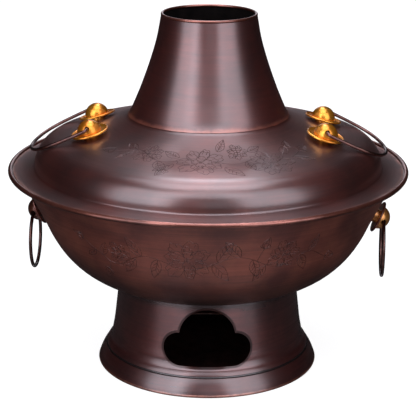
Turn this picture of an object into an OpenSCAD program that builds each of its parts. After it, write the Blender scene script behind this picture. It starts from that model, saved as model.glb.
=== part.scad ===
// Chimney hot pot in spun copper: a bowl on a flared foot with a charcoal chamber up its middle,
// a ring lid with two wire bails, and a flared chimney that stands on the lid.
// Millimetres, +Z up. The origin is on the ground under the centre of the foot, and the
// cloud-shaped draught opening faces -Y.

/* [Sheet and wire] */
// Thickness of the spun copper sheet
sheet_t = 1.2; // [0.8:0.1:1.8]
// Thickness of the brass of the bosses and knobs
brass_t = 1.0; // [0.8:0.1:1.4]

/* [Foot] */
// Height of the foot, from the ground to the underside of the bowl
foot_h = 76.4; // [60:0.2:95]
// Outside radius of the foot where it meets the bowl
foot_top_r = 76.5; // [74:0.5:80]
// Outside radius of the foot at its waist, where the flare starts
foot_waist_r = 83.4; // [81:0.2:88]
// Height of the waist above the ground
foot_waist_z = 22.6; // [18:0.2:25]
// Outside radius of the foot on the ground
foot_r = 95.5; // [91:0.5:110]
// Height of the middle of the groove turned round the flare
foot_groove_z = 15.4; // [12:0.2:17]
// Width of that groove
foot_groove_w = 1.8; // [1.2:0.1:2.4]
// Depth of that groove
foot_groove_deep = 0.7; // [0.3:0.1:1]
// Radius of the rolled edge round the bottom of the foot
foot_bead_r = 1.4; // [1.3:0.1:2]
// Height of the underside of the base plate above the ground
base_gap = 0.3; // [0.2:0.1:0.6]

/* [Cloud draught opening] */
// Radius of the top lobe
vent_top_r = 23.4; // [18:0.2:25]
// How far the top of the opening is below the top of the foot
vent_below = 5; // [3.5:0.5:9]
// Radius of each side lobe
vent_side_r = 13.9; // [10:0.1:14]
// Distance of each side lobe from the middle
vent_side_x = 22.4; // [18:0.2:24]
// Height of the bottom of the opening above the ground
vent_sill = 23.3; // [20:0.1:26]
// Width of the turned lip round the opening
vent_lip_w = 1.6; // [1:0.1:2.5]
// How far the turned lip stands out from the wall
vent_lip_proud = 0.8; // [0.4:0.1:1.5]

/* [Bowl] */
// Outside radius of the bowl at its rolled rim
rim_r = 170; // [162:1:185]
// Radius of the roll round the rim
rim_bead_r = 2.0; // [1.8:0.1:3]
// Width of the flared rim, from the bowl wall to the outside of the roll
rim_w = 13.7; // [12:0.1:18]
// Height of the bowl, from the foot to the flat of the rim that the lid rests on
bowl_h = 96.9; // [85:0.1:115]
// How far below that flat the wall starts to flare out
rim_drop = 8.3; // [7:0.1:12]
// Radius of the bend between the wall and the flat of the rim
rim_bend_r = 5; // [3:0.5:6]

/* [Fire chamber] */
// How far the bottom of the chamber stands in from the top of the foot
chamber_step = 2.5; // [2:0.1:6]
// Outside radius of the neck of the chamber
neck_r = 61.2; // [55:0.2:62]
// Length of the straight part of the neck
neck_h = 24; // [16:1:30]
// How far the neck stands up above the top of the lid
neck_up = 8.2; // [5:0.2:9]
// How far the top of the ledge that carries the grate is above the foot
ledge_up = 7.6; // [5:0.2:20]
// Width of the ledge inside the chamber
ledge_w = 17; // [15:0.5:22]
// Gap round the grate where it is lifted through the neck
grate_gap = 1.5; // [1:0.1:3]
// Thickness of the grate
grate_t = 5; // [3:0.5:8]
// Width of each bar of the grate
grate_bar = 5; // [3:0.5:6]
// Number of bars across the grate
grate_bars = 7; // [5:2:9]

/* [Lid] */
// Gap between the edge of the lid and the roll of the rim
lid_gap = 0.5; // [0.3:0.1:2]
// Width of the brim of the lid, from its upright wall to its edge
lid_brim_w = 18.2; // [14:0.1:26]
// Height of the brim where it meets the wall, above the flat of the rim
lid_brim_up = 2.6; // [1.8:0.1:5]
// Height of the lid, from the flat of the rim to its top
lid_h = 46.5; // [40:0.1:55]
// Radius of the shoulder between the wall and the dome
shoulder_r = 22; // [14:0.5:24]
// Height of the centre of that shoulder above the brim
shoulder_up = 2.4; // [2:0.1:6]
// Slope of the dome where it meets the shoulder, in degrees
shoulder_slope = 17; // [10:0.5:22]
// Gap between the collar of the lid and the neck of the chamber
neck_gap = 0.6; // [0.4:0.1:1.5]
// How far the collar stands up inside the chimney
collar_up = 4.2; // [2:0.2:5]
// How far the collar reaches down below the top of the lid
collar_down = 12; // [8:0.5:14]

/* [Chimney] */
// How far the foot of the chimney stands out from the collar
chimney_out = 5.1; // [4.2:0.1:9]
// Outside radius of the chimney at the top, under its rolled edge
chimney_top_r = 40.2; // [32:0.2:50]
// Height of the chimney
chimney_h = 86.1; // [60:0.5:120]
// Radius of the roll round the top
chimney_bead_r = 1.2; // [1:0.1:2]

/* [Bosses and knobs] */
// Outside radius of the hollow dome
dome_r = 10.2; // [9.6:0.1:11]
// Radius of the brim of a boss, round its dome
brim_r = 16; // [13:0.2:18]
// Radius of the roll at the edge of that brim
brim_bead_r = 0.9; // [0.8:0.05:1.2]
// Radius of the neck under the brim
stalk_r = 6; // [4:0.2:8]
// Radius of the rivet that holds a boss or a knob
rivet_r = 2.4; // [1.5:0.1:3]
// Gap round the rivet in its holes, and between its head and the sheet
rivet_gap = 0.1; // [0.05:0.05:0.3]
// Radius of the head of that rivet
rivet_head_r = 5; // [4:0.2:7]
// Height of the head of that rivet
rivet_head_h = 2; // [1.5:0.1:3]

/* [Lid bails] */
// How far the lid is turned on the bowl, in degrees
lid_turn = -2; // [-15:0.5:15]
// Radius of the bail wire
bail_wire_r = 1.4; // [1:0.05:1.6]
// Radius of the hole in a boss that takes the bail
bail_hole_r = 2.1; // [1.9:0.05:2.5]
// How far the middle of each boss is from the foot of the chimney
boss_out = 33.5; // [30:0.5:38]
// Angle between a boss and the side-to-side line
boss_angle = 17; // [15:0.5:20]
// Clear height under the brim of a boss
boss_stand = 2.6; // [1.5:0.1:4]
// Height of the hole in a boss above its brim
boss_hole_h = 4.4; // [4:0.1:5.5]
// Reach of a bail, from its hinge line to the middle of its wire
bail_reach = 57; // [50:0.5:60]
// Gap between a bail at rest and the lid
bail_rest_gap = 0.4; // [0.3:0.05:3]
// Radius of the bend outside each boss
bail_bend_r = 3.5; // [3:0.1:5]
// Gap between a boss and the bend outside it
bail_side_gap = 1.2; // [0.6:0.1:3]
// Radius of the long sides of a bail
bail_side_r = 120; // [90:1:200]
// Radius of the corners of a bail
bail_corner_r = 29; // [20:0.5:32]
// Radius of the front of a bail
bail_front_r = 58; // [50:1:90]

/* [Bowl knobs and rings] */
// How far round the knobs are from the side-to-side line, in degrees
knob_turn = -3.5; // [-15:0.5:15]
// How far the knobs are below the flat of the rim
knob_drop = 39.1; // [33:0.1:45]
// Radius of the brim of a knob, round its dome
knob_brim_r = 14; // [13:0.2:18]
// Clear height under the brim of a knob
knob_stand = 5; // [3:0.1:7]
// Height of the ring holes above the brim of a knob
knob_hole_h = 4.8; // [4.6:0.1:5.2]
// Radius of the ring holes
ring_hole_r = 2.3; // [2.15:0.05:2.6]
// Radius of the ring wire
ring_wire_r = 1.5; // [1:0.05:1.6]
// Radius of a ring, to the middle of its wire
ring_r = 25.5; // [22:0.5:30]

/* [Hidden] */
$fn = 96;
spun_fn = 180;
path_steps = 4;
left = -1;
right = 1;

// heights above the ground, from the foot up
seat_z = foot_h + bowl_h;
wall_z = seat_z - rim_drop;
knob_z = seat_z - knob_drop;
brim_z = seat_z + lid_brim_up;
shoulder_z = brim_z + shoulder_up;
lid_top_z = seat_z + lid_h;
neck_top_z = lid_top_z + neck_up;
neck_z = neck_top_z - neck_h;
ledge_z = foot_h + ledge_up;
vent_top_z = foot_h - vent_below - vent_top_r;
vent_side_z = vent_sill + vent_side_r;

// outside radii of what fits together, from the rim in and from the neck out
wall_r = rim_r - rim_w;
lid_r = rim_r - 2 * rim_bead_r - lid_gap;
lid_wall_r = lid_r - lid_brim_w;
chamber_r = foot_top_r - chamber_step;
grate_r = neck_r - sheet_t - grate_gap;
collar_r = neck_r + neck_gap + sheet_t;
chimney_r = collar_r + chimney_out;
boss_r = chimney_r + boss_out;

// how much of the foot's rolled edge is flattened: under the ground and under the foot wall
foot_bead_under = 0.2;
foot_bead_over = 0.4;
// how far the foot wall stands in from the widest point of its rolled edge
foot_edge_in = 0.4;
// the foot is a little thicker than the other sheet
foot_wall_t = sheet_t * 1.15;
// gap between the base plate and the rolled edge round it
base_fit = 0.05;
// gap between the fire chamber and what is fitted to its outside and inside
chamber_fit = 0.05;
// how far the cut of the draught opening runs past the foot
cut_past = 10;
// how far the bottom of the bowl runs out past the foot before it rises
bowl_step = 0.8;
// how far the edge of the bowl's rim reaches into its roll, and how far the roll stands above it
rim_grip = 0.8;
rim_bead_up = 0.7;
// how much the fire chamber narrows from the bottom up to its ledge
chamber_in = 0.8;
// thickness of the ledge in the chamber
ledge_t = 2;
// the flat that carries the chimney ends this far inside it, and the dome starts this far out and down
stand_in = 0.6;
stand_step = 1.2;
// radius of the bend between the lid's wall and its brim, and width of the flat at the brim's edge
crease_r = 1.6;
brim_flat_w = 5;
// width of the flange that the chimney's foot is turned in to, and the bend above it
chimney_turn_w = 1.4;
chimney_bend = 1;
// how far the roll at the chimney's top stands out from its wall, and how much of it is cut away below
chimney_bead_out = 0.2;
chimney_bead_under = 0.2;
// how far a stalk runs into the sheet before it is trimmed to it
stalk_sunk = 4;
// holes drilled for rivets
drill_l = 14;
rivet_hole_r = rivet_r + rivet_gap;
// a wire joint is a ball a hair thicker than the wire
wire_joint_share = 1.03;

// ---------------------------------------------------------------- outline functions

function mid_slope(p, i) = (p[i + 1] - p[i - 1]) / 2;

// slope of a control line at point i, one-sided at its two ends
function slope_at(p, i) =
    i == 0 ? p[1] - p[0]
    : i == len(p) - 1 ? p[i] - p[i - 1]
    : mid_slope(p, i);

// a point between p[i] and p[i + 1] on the smooth curve through all the points
function smooth_at(p, i, t) =
    (2 * t * t * t - 3 * t * t + 1) * p[i]
    + (t * t * t - 2 * t * t + t) * slope_at(p, i)
    + (3 * t * t - 2 * t * t * t) * p[i + 1]
    + (t * t * t - t * t) * slope_at(p, i + 1);

// the smooth curve through the control points p, with n steps between each two
function smooth(p, n = path_steps) =
    [for (i = [0:len(p) - 2]) for (k = [0:n - 1]) smooth_at(p, i, k / n), p[len(p) - 1]];

// an arc round the point c, from angle a0 to angle a1
function arc(c, r, a0, a1, n) = [for (k = [0:n]) c + r * dir(a0 + (a1 - a0) * k / n)];

function dir(a) = [cos(a), sin(a)];
function unit(v) = v / norm(v);
function turned(v) = [-v[1], v[0]];

// direction of a path at its point i
function heading(p, i) =
    i == 0 ? unit(p[1] - p[0])
    : i == len(p) - 1 ? unit(p[i] - p[i - 1])
    : unit(unit(p[i + 1] - p[i]) + unit(p[i] - p[i - 1]));

// the path p moved sideways by t, to its left when t is positive
function beside(p, t) = [for (i = [0:len(p) - 1]) p[i] + t * turned(heading(p, i))];

function backwards(p) = [for (i = [len(p) - 1:-1:0]) p[i]];

// the closed outline of a sheet of thickness t that lies to the left of the path p
function sheet(p, t) = concat(p, backwards(beside(p, t)));

// control points between a and b, given as shares of the distance between them
function between(a, b, shares) =
    [for (s = shares) [a[0] + s[0] * (b[0] - a[0]), a[1] + s[1] * (b[1] - a[1])]];

// height of a path above a radius, on its one stretch that passes there
function height_at(p, r) =
    [for (i = [0:len(p) - 2])
        if ((p[i][0] - r) * (p[i + 1][0] - r) <= 0 && p[i][0] != p[i + 1][0])
            p[i][1] + (p[i + 1][1] - p[i][1]) * (r - p[i][0]) / (p[i + 1][0] - p[i][0])][0];

// distance of the point q from the line between a and b, and from a path
function to_line(q, a, b) = norm(q - a - max(0, min(1, (q - a) * (b - a) / norm(b - a) ^ 2)) * (b - a));
function to_path(q, p) = min([for (i = [0:len(p) - 2]) to_line(q, p[i], p[i + 1])]);

// radius of a path at a height
function radius_at(p, z) =
    [for (i = [0:len(p) - 2])
        if ((p[i][1] - z) * (p[i + 1][1] - z) <= 0 && p[i][1] != p[i + 1][1])
            p[i][0] + (p[i + 1][0] - p[i][0]) * (z - p[i][1]) / (p[i + 1][1] - p[i][1])][0];

// ---------------------------------------------------------------- outlines of the sheets

// foot: from its rolled edge up to the bowl, outside face
foot_bead_top = 2 * foot_bead_r - foot_bead_under - foot_bead_over;
foot_edge_r = foot_r - foot_edge_in;
flare_shares = [[0, 0], [0.1, 0.17], [0.29, 0.4], [0.53, 0.62], [0.71, 0.79], [0.9, 0.915]];
foot_plain = smooth(concat(
    between([foot_edge_r, foot_bead_top], [foot_waist_r, foot_waist_z], flare_shares),
    between([foot_waist_r, foot_waist_z], [foot_top_r, foot_h],
        [[0.035, 0.045], [0.1, 0.105], [0.33, 0.27], [0.65, 0.62], [1, 1]])
), 3);
// the groove, pressed in along half a sine wave from its lower edge to its upper edge
groove_start = foot_groove_z - foot_groove_w / 2;
groove_end = foot_groove_z + foot_groove_w / 2;
groove_steps = 8;
foot_path = concat(
    [for (p = foot_plain) if (p[1] < groove_start) p],
    [for (k = [0:groove_steps])
        let (z = groove_start + foot_groove_w * k / groove_steps)
            [radius_at(foot_plain, z) - foot_groove_deep * sin(180 * k / groove_steps), z]],
    [for (p = foot_plain) if (p[1] > groove_end) p]
);

// bowl: from the fire chamber out along its bottom, up the wall and out along the rim
bowl_start = [foot_top_r + bowl_step, foot_h];
bowl_shares = [
    [0, 0], [0.22, 0.063], [0.433, 0.176], [0.6, 0.323],
    [0.722, 0.492], [0.81, 0.661], [0.905, 0.831], [1, 1]
];
wall_top = [wall_r, wall_z];
bowl_wall = smooth(between(bowl_start, wall_top, bowl_shares));
rim_under_z = seat_z - sheet_t;
flange_r = rim_r - 2 * rim_bead_r + rim_grip;
wall_lean = heading(bowl_wall, len(bowl_wall) - 1);
wall_angle = atan2(wall_lean[1], wall_lean[0]);
bend_centre_z = rim_under_z - rim_bend_r;
bend_start_z = bend_centre_z + rim_bend_r * cos(wall_angle);
bend_centre_r = wall_r + (bend_start_z - wall_z) / tan(wall_angle) + rim_bend_r * sin(wall_angle);
bowl_path = concat(
    [[chamber_r + chamber_fit, foot_h]],
    bowl_wall,
    arc([bend_centre_r, bend_centre_z], rim_bend_r, 90 + wall_angle, 90, 6),
    [[flange_r, rim_under_z]]
);

// fire chamber: inside face, so that its outside lies to the right
chamber_path = [
    [chamber_r, foot_h], [chamber_r - chamber_in, ledge_z],
    [neck_r, neck_z], [neck_r, neck_top_z]
];

// lid: from the hole out along the dome, down the wall and out along the brim, top face
stand_r = chimney_r - stand_in;
shoulder_c = [lid_wall_r - shoulder_r, shoulder_z];
shoulder_start = shoulder_c + shoulder_r * dir(90 - shoulder_slope);
dome_start = [stand_r + stand_step, lid_top_z - stand_step];
dome_shares = [[0, 0], [0.148, 0.223], [0.338, 0.457], [0.56, 0.67], [0.782, 0.826], [1, 1]];
brim_flat_r = lid_r - brim_flat_w;
brim_top_z = seat_z + sheet_t;
dome_path = smooth(between(dome_start, shoulder_start, dome_shares));
lid_path = concat(
    [[collar_r, lid_top_z], [stand_r, lid_top_z]],
    dome_path,
    arc(shoulder_c, shoulder_r, 82 - shoulder_slope, 0, 10),
    arc([lid_wall_r + crease_r, brim_z + crease_r], crease_r, 180, 258, 4),
    [[brim_flat_r, brim_top_z], [lid_r, brim_top_z]]
);

// chimney: from the lid to the top, outside face
chimney_shares = [
    [0, 0], [0.108, 0.061], [0.25, 0.168], [0.407, 0.297],
    [0.659, 0.532], [0.868, 0.768], [1, 1]
];
chimney_top_z = lid_top_z + chimney_h;
chimney_edge_z = chimney_top_z - 2 * chimney_bead_r + chimney_bead_under;
chimney_path = smooth(between([chimney_r, lid_top_z], [chimney_top_r, chimney_edge_z], chimney_shares));

// ---------------------------------------------------------------- places of the fittings

// a fitting stands at a radius r and a height z, with its axis tilted down from +Z by tilt
boss_z = height_at(dome_path, boss_r);
boss_tilt = atan2(height_at(dome_path, boss_r - 2) - height_at(dome_path, boss_r + 2), 4);
knob_r = radius_at(bowl_wall, knob_z);
knob_tilt = 90 + atan2(radius_at(bowl_wall, knob_z + 3) - radius_at(bowl_wall, knob_z - 3), 6);

// hinge line of the bails: it runs along Y through the holes of two bosses
boss_hinge = boss_stand + brass_t + boss_hole_h;
bail_x = (boss_r + boss_hinge * sin(boss_tilt)) * cos(boss_angle);
boss_y = (boss_r + boss_hinge * sin(boss_tilt)) * sin(boss_angle);
bail_z = boss_z + boss_hinge * cos(boss_tilt);
boss_half_w = sqrt(dome_r * dome_r - boss_hole_h * boss_hole_h);
bail_half_w = boss_y + boss_half_w + bail_side_gap + bail_bend_r;
bail_end_y = boss_y - 1;

// a bail's arcs: its side, corner and front arcs run into one another
side_c = [bail_bend_r, bail_half_w - bail_side_r];
front_c = [bail_reach - bail_front_r, 0];
corner_c = meet(side_c, bail_side_r - bail_corner_r, front_c, bail_front_r - bail_corner_r);
side_turn = atan2(corner_c[1] - side_c[1], corner_c[0] - side_c[0]);
front_turn = atan2(corner_c[1] - front_c[1], corner_c[0] - front_c[0]);

// a bail sinks until its wire rests on the lid, one step short of the first slope that touches
bail_line = concat(
    arc(side_c, bail_side_r, 90, side_turn, 6),
    arc(corner_c, bail_corner_r, side_turn, front_turn, 6),
    arc(front_c, bail_front_r, front_turn, 0, 6)
);
slope_step = 0.5;
bail_touching = [
    for (slope = [5:slope_step:50])
        if (min([for (p = bail_line) to_path(bail_point(p, slope), lid_path)]) < bail_wire_r + bail_rest_gap)
            slope
];
bail_droop = min(concat(bail_touching, 50)) - slope_step;

// radius and height of a point of a bail that slopes down
function bail_point(p, slope) = [norm([bail_x + p[0] * cos(slope), p[1]]), bail_z - p[0] * sin(slope)];

// where the circles round a and b meet, on the side of larger x and y
function meet(a, ra, b, rb) =
    let (d = norm(b - a), u = (b - a) / d, m = (d * d + ra * ra - rb * rb) / (2 * d))
    a + m * u + sqrt(ra * ra - m * m) * (turned(u)[0] > 0 ? turned(u) : -turned(u));

// hinge line of the rings
knob_hinge = knob_stand + brass_t + knob_hole_h;
ring_x = knob_r + knob_hinge * sin(knob_tilt);
ring_z = knob_z + knob_hinge * cos(knob_tilt);
knob_half_w = sqrt(dome_r * dome_r - knob_hole_h * knob_hole_h) - brass_t / 2;
ring_drop = sqrt(ring_r * ring_r - knob_half_w * knob_half_w);

// ---------------------------------------------------------------- shared shapes

module spun(outline) {
    rotate_extrude($fn = spun_fn)
        polygon(outline);
}

// a rolled edge: a ring of round wire with a flat cut along it below or above
module rolled_edge(r, z, wire, low, high) {
    rotate_extrude($fn = spun_fn)
        intersection() {
            translate([r, z])
                circle(wire, $fn = 48);
            translate([r - wire - 1, low])
                square([2 * wire + 2, high - low]);
        }
}

// the solids that trim what stands on a sheet: all that lies under the dome of the lid,
// and all that lies inside the wall of the bowl
module under_dome() {
    low_z = dome_path[len(dome_path) - 1][1] - 30;
    spun(concat(
        [[0, low_z], [dome_path[len(dome_path) - 1][0], low_z]],
        backwards(dome_path),
        [[0, dome_path[0][1]]]
    ));
}

module inside_bowl() {
    spun(concat([[0, foot_h]], bowl_wall, [[0, wall_z]]));
}

// puts a fitting on the surface at radius r and height z, turned round by angle
module placed(angle, r, z, tilt) {
    rotate([0, 0, angle])
        translate([r, 0, z])
            rotate([0, tilt, 0])
                children();
}

// one hat-shaped fitting: a stalk, a brim with a rolled edge and a hollow dome
module hat(stand, outer) {
    floor_z = stand + brass_t;
    flat_r = max(outer - 3, dome_r + 0.2);
    rotate_extrude($fn = 96)
        polygon(concat(
            [[rivet_hole_r, -stalk_sunk], [stalk_r, -stalk_sunk], [stalk_r, stand]],
            [[outer - 2, stand]],
            arc([outer - brim_bead_r, stand + brim_bead_r], brim_bead_r, -90, 150, 10),
            [[flat_r, floor_z], [dome_r, floor_z]],
            arc([0, floor_z], dome_r, 0, 90, 18),
            arc([0, floor_z], dome_r - brass_t, 90, 0, 18),
            [[rivet_hole_r, floor_z]]
        ));
}

// how far a sheet of radius r curves away under the edge of a rivet's head
function sag(r) = rivet_head_r * rivet_head_r / (2 * r);

// a rivet: a shank through the sheet and the stalk, with a domed head inside
module rivet(stand, head_z) {
    rotate_extrude($fn = 64)
        polygon(concat(
            [[0, stand + brass_t], [rivet_r, stand + brass_t], [rivet_r, head_z]],
            [[rivet_head_r, head_z], [rivet_head_r, head_z - rivet_head_h / 3]],
            [[rivet_head_r * 0.7, head_z - rivet_head_h * 0.8], [0, head_z - rivet_head_h]]
        ));
}

// ---------------------------------------------------------------- foot

module cloud(grow) {
    translate([0, vent_top_z])
        circle(vent_top_r + grow);
    for (side = [left, right])
        translate([side * vent_side_x, vent_side_z])
            circle(vent_side_r + grow);
    translate([-vent_side_x, vent_side_z - vent_side_r - grow])
        square([2 * vent_side_x, vent_side_r + grow]);
}

// the cloud as a straight bar that runs out through the front of the foot
module cloud_bar(grow) {
    rotate([90, 0, 0])
        linear_extrude(foot_r + cut_past)
            cloud(grow);
}

module foot_outline(grow) {
    outside = [for (p = foot_path) [p[0] + grow, p[1]]];
    inside = [for (p = backwards(foot_path)) [p[0] - foot_wall_t, p[1]]];
    spun(concat(outside, inside));
}

module foot_wall() {
    color("#5a3a36")
        difference() {
            foot_outline(0);
            cloud_bar(vent_lip_w);
        }
}

module vent_lip() {
    color("#c98b75")
        intersection() {
            foot_outline(vent_lip_proud);
            difference() {
                cloud_bar(vent_lip_w);
                cloud_bar(0);
            }
        }
}

module foot_rolled_edge() {
    color("#8d5a4c")
        rolled_edge(foot_r - foot_bead_r, foot_bead_r - foot_bead_under, foot_bead_r, 0, foot_bead_top);
}

module base_plate() {
    color("#3a2523")
        translate([0, 0, base_gap])
            cylinder(r = foot_r - 2 * foot_bead_r - base_fit, h = sheet_t, $fn = spun_fn);
}

// ---------------------------------------------------------------- bowl

module knob_holes() {
    for (turn = [0, 180])
        placed(turn + knob_turn, knob_r, knob_z, knob_tilt)
            cylinder(r = rivet_hole_r, h = drill_l, center = true, $fn = 48);
}

module bowl_shell() {
    color("#5a3a36")
        difference() {
            spun(sheet(bowl_path, sheet_t));
            knob_holes();
        }
}

module rim_rolled_edge() {
    color("#c98b75")
        rotate_extrude($fn = spun_fn)
            difference() {
                translate([rim_r - rim_bead_r, seat_z + rim_bead_up])
                    circle(rim_bead_r, $fn = 48);
                translate([0, rim_under_z])
                    square([flange_r, sheet_t]);
            }
}

module fire_chamber() {
    color("#4a2c2a")
        spun(sheet(chamber_path, sheet_t));
}

module knob(turn) {
    color(turn == 0 ? "#c07838" : "#8d5a4c")
        difference() {
            placed(turn + knob_turn, knob_r, knob_z, knob_tilt)
                hat(knob_stand, knob_brim_r);
            inside_bowl();
            rotate([0, 0, turn + knob_turn])
                translate([ring_x, 0, ring_z])
                    rotate([90, 0, 0])
                        cylinder(r = ring_hole_r, h = 3 * dome_r, center = true, $fn = 48);
        }
}

module bowl_knob_left() {
    knob(180);
}

module bowl_knob_right() {
    knob(0);
}

module knob_rivets() {
    color("#b87333")
        for (turn = [0, 180])
            placed(turn + knob_turn, knob_r, knob_z, knob_tilt)
                rivet(knob_stand, -sheet_t - rivet_gap - sag(knob_r));
}

module ring(turn) {
    color("#6b4136")
        rotate([0, 0, turn + knob_turn])
            translate([ring_x, 0, ring_z - ring_drop])
                rotate([0, 90, 0])
                    rotate_extrude($fn = 120)
                        translate([ring_r, 0])
                            circle(ring_wire_r, $fn = 32);
}

module bowl_ring_left() {
    ring(180);
}

module bowl_ring_right() {
    ring(0);
}

// ---------------------------------------------------------------- fire

module grate_ledge() {
    color("#3a2523")
        spun([
            [grate_r - ledge_w / 2, ledge_z - ledge_t],
            [chamber_bore(ledge_z - ledge_t), ledge_z - ledge_t],
            [chamber_bore(ledge_z), ledge_z],
            [grate_r - ledge_w / 2, ledge_z]
        ]);
}

// inside radius of the chamber at a height, less the fit
function chamber_bore(z) = radius_at(beside(chamber_path, sheet_t), z) - chamber_fit;

module fire_grate() {
    pitch = 2 * (grate_r - grate_bar) / (grate_bars + 1);
    color("#2b2b2d")
        translate([0, 0, ledge_z]) {
            difference() {
                cylinder(r = grate_r, h = grate_t, $fn = 120);
                translate([0, 0, -1])
                    cylinder(r = grate_r - 1.4 * grate_bar, h = grate_t + 2, $fn = 120);
            }
            intersection() {
                cylinder(r = grate_r - 0.5 * grate_bar, h = grate_t, $fn = 120);
                union() {
                    for (k = [1:grate_bars])
                        translate([(k - (grate_bars + 1) / 2) * pitch, 0, grate_t / 2])
                            cube([grate_bar, 2 * grate_r, grate_t], center = true);
                    translate([0, 0, grate_t / 2])
                        cube([2 * grate_r, grate_bar, grate_t], center = true);
                }
            }
        }
}

// ---------------------------------------------------------------- lid

module boss_spots() {
    for (angle = [boss_angle, 180 - boss_angle, 180 + boss_angle, -boss_angle])
        placed(angle + lid_turn, boss_r, boss_z, boss_tilt)
            children();
}

module lid_shell() {
    color("#5a3a36")
        difference() {
            spun(sheet(lid_path, -sheet_t));
            boss_spots()
                cylinder(r = rivet_hole_r, h = drill_l, center = true, $fn = 48);
        }
}

module lid_collar() {
    color("#4a2c2a")
        spun([
            [neck_r + neck_gap, lid_top_z - collar_down],
            [collar_r, lid_top_z - collar_down],
            [collar_r, lid_top_z + collar_up],
            [neck_r + neck_gap, lid_top_z + collar_up]
        ]);
}

// a boss on the lid, with one hole for the bail on the side that faces away from its partner
module boss(side_x, side_y) {
    angle = side_x == right ? side_y * boss_angle : 180 - side_y * boss_angle;
    color("#e8a020")
        difference() {
            placed(angle + lid_turn, boss_r, boss_z, boss_tilt)
                hat(boss_stand, brim_r);
            under_dome();
            rotate([0, 0, lid_turn])
                translate([side_x * bail_x, side_y * (boss_y + dome_r), bail_z])
                    rotate([90, 0, 0])
                        cylinder(r = bail_hole_r, h = 1.6 * dome_r, center = true, $fn = 48);
        }
}

module lid_boss_front_left() {
    boss(left, -1);
}

module lid_boss_front_right() {
    boss(right, -1);
}

module lid_boss_rear_left() {
    boss(left, 1);
}

module lid_boss_rear_right() {
    boss(right, 1);
}

module lid_rivets() {
    color("#b87333")
        boss_spots()
            rivet(boss_stand, -sheet_t - rivet_gap - sag(boss_r));
}

// an arc of bail wire round the point c
module wire_arc(c, r, from, to) {
    translate([c[0], c[1], 0])
        rotate([0, 0, from])
            rotate_extrude(angle = to - from, $fn = 180)
                translate([r, 0])
                    circle(bail_wire_r, $fn = 32);
}

// a joint between two lengths of wire, a hair thicker than the wire
module wire_joint(c, turn, r) {
    translate(concat(c + r * dir(turn), 0))
        sphere(bail_wire_r * wire_joint_share, $fn = 48);
}

module half_bail() {
    bend_y = bail_half_w - bail_bend_r;
    wire_joint([bail_bend_r, bend_y], 180, bail_bend_r);
    wire_joint(side_c, 90, bail_side_r);
    wire_joint(corner_c, side_turn, bail_corner_r);
    wire_joint(corner_c, front_turn, bail_corner_r);
    wire_joint(front_c, 0, bail_front_r);
    translate([0, bend_y, 0])
        rotate([90, 0, 0])
            cylinder(r = bail_wire_r, h = bend_y - bail_end_y, $fn = 32);
    wire_arc([bail_bend_r, bend_y], bail_bend_r, 90, 180);
    wire_arc(side_c, bail_side_r, side_turn, 90);
    wire_arc(corner_c, bail_corner_r, front_turn, side_turn);
    wire_arc(front_c, bail_front_r, 0, front_turn);
}

module bail(turn) {
    color("#8d5a4c")
        rotate([0, 0, turn + lid_turn])
            translate([bail_x, 0, bail_z])
                rotate([0, bail_droop, 0]) {
                    half_bail();
                    mirror([0, 1, 0])
                        half_bail();
                }
}

module lid_bail_left() {
    bail(180);
}

module lid_bail_right() {
    bail(0);
}

// ---------------------------------------------------------------- chimney

// the chimney's foot is turned in to a narrow flange that stands on the lid
module chimney_cone() {
    flange_top = lid_top_z + sheet_t;
    flange_in = chimney_r - sheet_t - chimney_turn_w;
    inside = [
        for (p = backwards(chimney_path))
            if (p[1] > flange_top + chimney_bend)
                [p[0] - sheet_t, p[1]]
    ];
    foot = [[flange_in + chimney_bend, flange_top], [flange_in, flange_top], [flange_in, lid_top_z]];
    color("#4a2c2a")
        spun(concat(chimney_path, inside, foot));
}

module chimney_rolled_edge() {
    color("#c98b75")
        rolled_edge(
            chimney_top_r - chimney_bead_r + chimney_bead_out, chimney_top_z - chimney_bead_r,
            chimney_bead_r, chimney_edge_z, chimney_top_z
        );
}

foot_wall();
vent_lip();
foot_rolled_edge();
base_plate();
bowl_shell();
rim_rolled_edge();
fire_chamber();
bowl_knob_left();
bowl_knob_right();
knob_rivets();
bowl_ring_left();
bowl_ring_right();
grate_ledge();
fire_grate();
lid_shell();
lid_collar();
lid_boss_front_left();
lid_boss_front_right();
lid_boss_rear_left();
lid_boss_rear_right();
lid_rivets();
lid_bail_left();
lid_bail_right();
chimney_cone();
chimney_rolled_edge();
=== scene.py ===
# %% [markdown]
# # A chimney hot pot in spun copper
# The pot is sheet copper, spun on a lathe over wooden formers, browned with a patina and
# buffed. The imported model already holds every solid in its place, in metres, so this script
# dresses it: smoother spun sheets for the two big pieces, the chased flowers, the finishes,
# and a small studio.

import math
import random

import bmesh
import bpy
from mathutils import Matrix, Vector


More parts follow.
